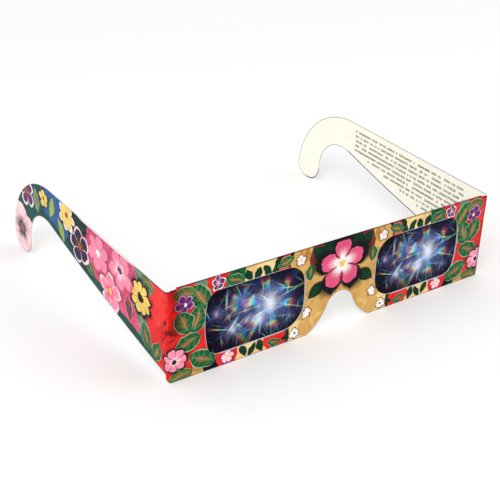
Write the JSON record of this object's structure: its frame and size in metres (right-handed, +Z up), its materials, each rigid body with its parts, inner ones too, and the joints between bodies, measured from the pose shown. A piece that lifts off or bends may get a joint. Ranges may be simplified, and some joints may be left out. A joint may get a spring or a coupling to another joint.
{
  "type": "diffraction glasses",
  "caption": "Folded card glasses that hold diffraction film behind two windows, with a nose notch and arms that fold at the corners and hook over the ears.",
  "frame": {"origin": "on the ground, in the plane of the printed face, under the middle of the nose notch", "axes": "+X across the face, to the right when facing the printed front, +Y from the printed face back towards the ears, +Z up"},
  "size_m": [0.1545, 0.1255, 0.0401],
  "materials": {
    "printed_card": "gloss laminate over a flower print, cream and uncoated inside",
    "plain_card": "uncoated cream board",
    "diffraction_film": "embossed gloss film",
    "dried_glue": "dried clear white"
  },
  "bodies": {
    "front": {"front_panel": "printed_card", "top_fold": "printed_card", "rear_flap": "plain_card", "left_lens_film": "diffraction_film", "right_lens_film": "diffraction_film", "left_crease": "printed_card", "right_crease": "printed_card", "bridge_glue_patch": "dried_glue", "left_end_glue_patch": "dried_glue", "right_end_glue_patch": "dried_glue", "upper_glue_line": "dried_glue", "lower_glue_lines": "dried_glue"},
    "left_arm": {"left_temple": "printed_card"},
    "right_arm": {"right_temple": "printed_card"}
  },
  "joints": [
    {"name": "left_temple_fold", "type": "hinge", "parent": "front", "child": "left_arm", "pos_m": [-0.0725, 0.0015, 0.01845], "axis": [0, 0, -1], "range_deg": [-87, 93], "deforming": ["left_crease"]},
    {"name": "right_temple_fold", "type": "hinge", "parent": "front", "child": "right_arm", "pos_m": [0.0725, 0.0015, 0.01845], "axis": [0, 0, 1], "range_deg": [-91, 86], "deforming": ["right_crease"]}
  ]
}
